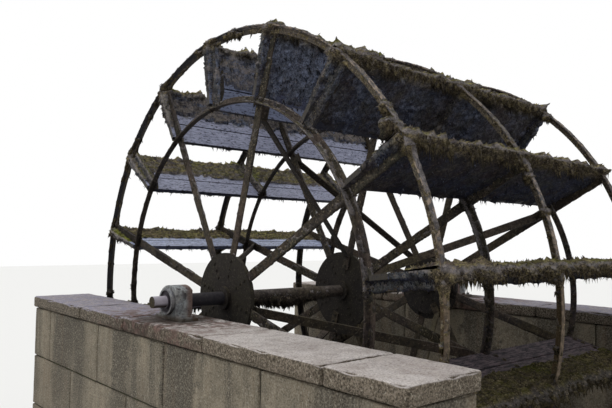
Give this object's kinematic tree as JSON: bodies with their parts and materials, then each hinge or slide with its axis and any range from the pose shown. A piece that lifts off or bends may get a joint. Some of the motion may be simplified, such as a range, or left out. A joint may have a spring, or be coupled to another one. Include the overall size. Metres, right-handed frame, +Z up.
{
  "type": "water wheel",
  "caption": "Undershot water wheel of iron rims, spokes and hubs with timber paddles on an axle in two bearings, on low masonry walls.",
  "frame": {"origin": "middle of the footprint, at the foot of the two walls, straight below the middle of the axle", "axes": "+X along the axle towards the far wall, +Y along the channel, +Z up"},
  "size_m": [4.62, 5.58, 5.1819],
  "materials": {
    "frame_iron": "rusted, dark brown, with lichen",
    "hub_iron": "rusted, nearly black",
    "axle_steel": "brown rust, dull",
    "wet_timber": "wet, grey, with moss",
    "wall_stone": "dressed limestone blocks, weathered",
    "coping_stone": "pale stone slabs, stained",
    "bearing_paint": "grey paint, chipped and rusty",
    "bearing_metal": "grey, worn to metal",
    "moss": "thick olive and brown moss crust",
    "mortar": "weathered lime mortar"
  },
  "bodies": {
    "root": {"near_wall": "wall_stone", "near_coping": "coping_stone", "near_bearing_body": "bearing_paint", "near_bearing_cap": "bearing_paint", "near_bearing_sleeve": "bearing_metal", "far_wall": "wall_stone", "far_coping": "coping_stone", "far_bearing_body": "bearing_paint", "far_bearing_cap": "bearing_paint", "far_bearing_sleeve": "bearing_metal"},
    "wheel": {"axle": "axle_steel", "hub_1": "hub_iron", "hub_2": "hub_iron", "hub_3": "hub_iron", "spokes_1": "frame_iron", "spokes_2": "frame_iron", "spokes_3": "frame_iron", "rim_1": "frame_iron", "rim_2": "frame_iron", "rim_3": "frame_iron", "inner_ring_1": "frame_iron", "inner_ring_2": "frame_iron", "inner_ring_3": "frame_iron", "brackets_1": "frame_iron", "brackets_2": "frame_iron", "brackets_3": "frame_iron", "braces_bay_1": "frame_iron", "braces_bay_2": "frame_iron", "paddle_01": "wet_timber", "paddle_02": "wet_timber", "paddle_03": "wet_timber", "paddle_04": "wet_timber", "paddle_05": "wet_timber", "paddle_06": "wet_timber", "paddle_07": "wet_timber", "paddle_08": "wet_timber", "paddle_09": "wet_timber", "paddle_10": "wet_timber", "paddle_11": "wet_timber", "paddle_12": "wet_timber", "paddle_13": "wet_timber", "paddle_14": "wet_timber", "paddle_15": "wet_timber", "paddle_16": "wet_timber"}
  },
  "joints": [
    {"name": "wheel_turn", "type": "hinge", "parent": "root", "child": "wheel", "pos_m": [0, 0, 2.75], "axis": [1, 0, 0], "continuous": true}
  ]
}
